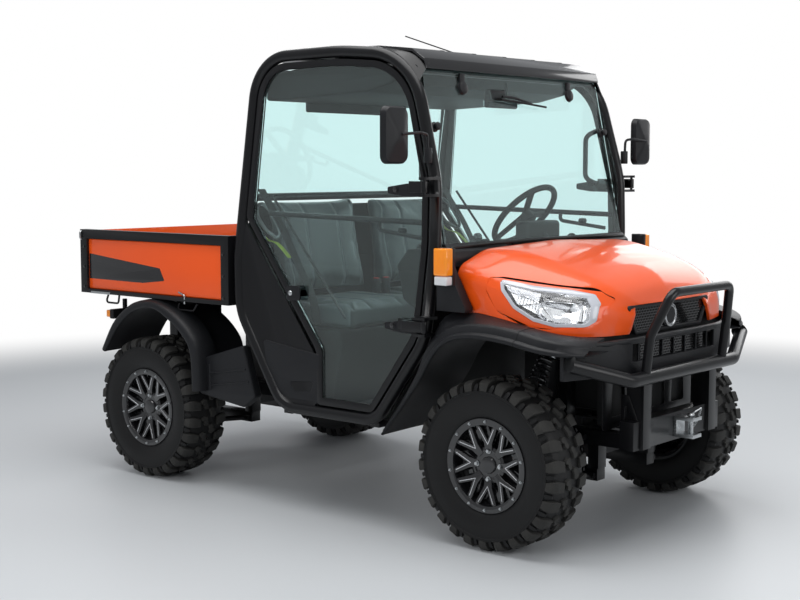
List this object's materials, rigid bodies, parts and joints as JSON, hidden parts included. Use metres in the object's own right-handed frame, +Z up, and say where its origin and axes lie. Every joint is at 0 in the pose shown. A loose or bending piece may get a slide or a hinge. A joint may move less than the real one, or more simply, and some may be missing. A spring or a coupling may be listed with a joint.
{
  "type": "side by side utility vehicle",
  "caption": "Side by side utility vehicle with an enclosed tube cab, hinged doors and hood, steered front wheels, a front guard and a tipping cargo bed with a tailgate.",
  "frame": {"origin": "on the ground under the middle of the whole outline, which is the middle of the wheelbase", "axes": "+X forward, +Y to the vehicle's left, +Z up"},
  "size_m": [3.11, 2.016, 2.1383],
  "materials": {
    "tyre_rubber": "matt",
    "rim_black": "gloss black with machined accents",
    "steel_black": "satin",
    "raw_steel": "zinc plated",
    "orange_paint": "gloss",
    "black_plastic": "moulded grain",
    "gloss_black": "gloss",
    "tinted_glass": "tinted, clear",
    "lamp_clear": "clear lens over chrome",
    "lamp_amber": "amber lens",
    "seat_cloth": "pleated vinyl",
    "block_grey": "plain"
  },
  "bodies": {
    "chassis": {"chassis_frame": "steel_black", "engine_block": "block_grey", "front_axle": "steel_black", "rear_axle": "steel_black", "front_suspension": "steel_black", "rear_suspension": "steel_black", "cab_frame": "steel_black", "roof_panel": "gloss_black", "windshield": "tinted_glass", "rear_window": "tinted_glass", "floor_pan": "black_plastic", "seat_base": "black_plastic", "seat_cushions": "seat_cloth", "seat_backs": "seat_cloth", "dashboard": "black_plastic", "cowl": "black_plastic", "front_fenders": "black_plastic", "front_fascia": "black_plastic", "signal_lamps": "lamp_amber", "front_bumper": "steel_black", "tow_clevis": "raw_steel", "rear_fenders": "black_plastic", "mirrors": "black_plastic", "antenna": "black_plastic"},
    "wheel_front_left": {"tyre_front_left": "tyre_rubber", "rim_front_left": "rim_black"},
    "wheel_front_right": {"tyre_front_right": "tyre_rubber", "rim_front_right": "rim_black"},
    "wheel_rear_left": {"tyre_rear_left": "tyre_rubber", "rim_rear_left": "rim_black"},
    "wheel_rear_right": {"tyre_rear_right": "tyre_rubber", "rim_rear_right": "rim_black"},
    "knuckle_left": {"knuckle_left": "steel_black"},
    "knuckle_right": {"knuckle_right": "steel_black"},
    "steering_rack": {"tie_rods": "raw_steel"},
    "steering_wheel": {"steering_wheel": "black_plastic"},
    "door_left": {"door_frame_left": "black_plastic", "door_glass_left": "tinted_glass"},
    "door_right": {"door_frame_right": "black_plastic", "door_glass_right": "tinted_glass"},
    "hood": {"hood_shell": "orange_paint", "headlamps": "lamp_clear", "grille": "black_plastic"},
    "bed": {"cargo_bed": "steel_black", "bed_side_panels": "orange_paint"},
    "tailgate": {"tailgate": "black_plastic"},
    "cylinder_barrel": {"cylinder_barrel": "raw_steel"},
    "cylinder_rod": {"cylinder_rod": "raw_steel"}
  },
  "joints": [
    {"name": "steer_left", "type": "hinge", "parent": "chassis", "child": "knuckle_left", "pos_m": [1.0175, 0.56, 0.339], "axis": [0, 0, 1], "range_deg": [-30, 30]},
    {"name": "steer_right", "type": "hinge", "parent": "chassis", "child": "knuckle_right", "pos_m": [1.0175, -0.56, 0.339], "axis": [0, 0, 1], "range_deg": [-30, 30]},
    {"name": "roll_front_left", "type": "hinge", "parent": "knuckle_left", "child": "wheel_front_left", "pos_m": [1.0175, 0.6485, 0.339], "axis": [0, 1, 0], "continuous": true},
    {"name": "roll_front_right", "type": "hinge", "parent": "knuckle_right", "child": "wheel_front_right", "pos_m": [1.0175, -0.6485, 0.339], "axis": [0, 1, 0], "continuous": true},
    {"name": "roll_rear_left", "type": "hinge", "parent": "chassis", "child": "wheel_rear_left", "pos_m": [-1.0175, 0.6485, 0.339], "axis": [0, 1, 0], "continuous": true},
    {"name": "roll_rear_right", "type": "hinge", "parent": "chassis", "child": "wheel_rear_right", "pos_m": [-1.0175, -0.6485, 0.339], "axis": [0, 1, 0], "continuous": true},
    {"name": "rack_slide", "type": "slide", "parent": "chassis", "child": "steering_rack", "axis": [0, 1, 0], "range_m": [-0.056, 0.056]},
    {"name": "wheel_turn", "type": "hinge", "parent": "chassis", "child": "steering_wheel", "pos_m": [0.42, 0.35, 1.27], "axis": [-0.7433, 0, 0.669], "range_deg": [-360, 360]},
    {"name": "door_left_swing", "type": "hinge", "parent": "chassis", "child": "door_left", "pos_m": [0.738, 0.785, 1.133], "axis": [0, 0, -1], "range_deg": [0, 75]},
    {"name": "door_right_swing", "type": "hinge", "parent": "chassis", "child": "door_right", "pos_m": [0.738, -0.785, 1.133], "axis": [0, 0, 1], "range_deg": [0, 75]},
    {"name": "hood_lift", "type": "hinge", "parent": "chassis", "child": "hood", "pos_m": [0.775, 0, 1.15], "axis": [0, -1, 0], "range_deg": [0, 55]},
    {"name": "bed_tip", "type": "hinge", "parent": "chassis", "child": "bed", "pos_m": [-1.34, 0, 0.845], "axis": [0, -1, 0], "range_deg": [0, 38]},
    {"name": "tailgate_drop", "type": "hinge", "parent": "bed", "child": "tailgate", "pos_m": [-1.506, 0, 0.886], "axis": [0, -1, 0], "range_deg": [0, 92]},
    {"name": "cylinder_swing", "type": "hinge", "parent": "chassis", "child": "cylinder_barrel", "pos_m": [-0.93, 0, 0.47], "axis": [0, -1, 0], "range_deg": [0, 11]},
    {"name": "cylinder_stroke", "type": "slide", "parent": "cylinder_barrel", "child": "cylinder_rod", "axis": [0.0808, 0, 0.9967], "range_m": [0, 0.28]}
  ],
  "couplings": [
    {"joint": "steer_right", "follows": "steer_left", "ratio": 1},
    {"joint": "rack_slide", "follows": "steer_left", "m_per_rad": -0.105},
    {"joint": "wheel_turn", "follows": "steer_left", "ratio": 12},
    {"joint": "cylinder_swing", "follows": "bed_tip", "ratio": 0.263},
    {"joint": "cylinder_stroke", "follows": "bed_tip", "m_per_rad": 0.4125}
  ]
}
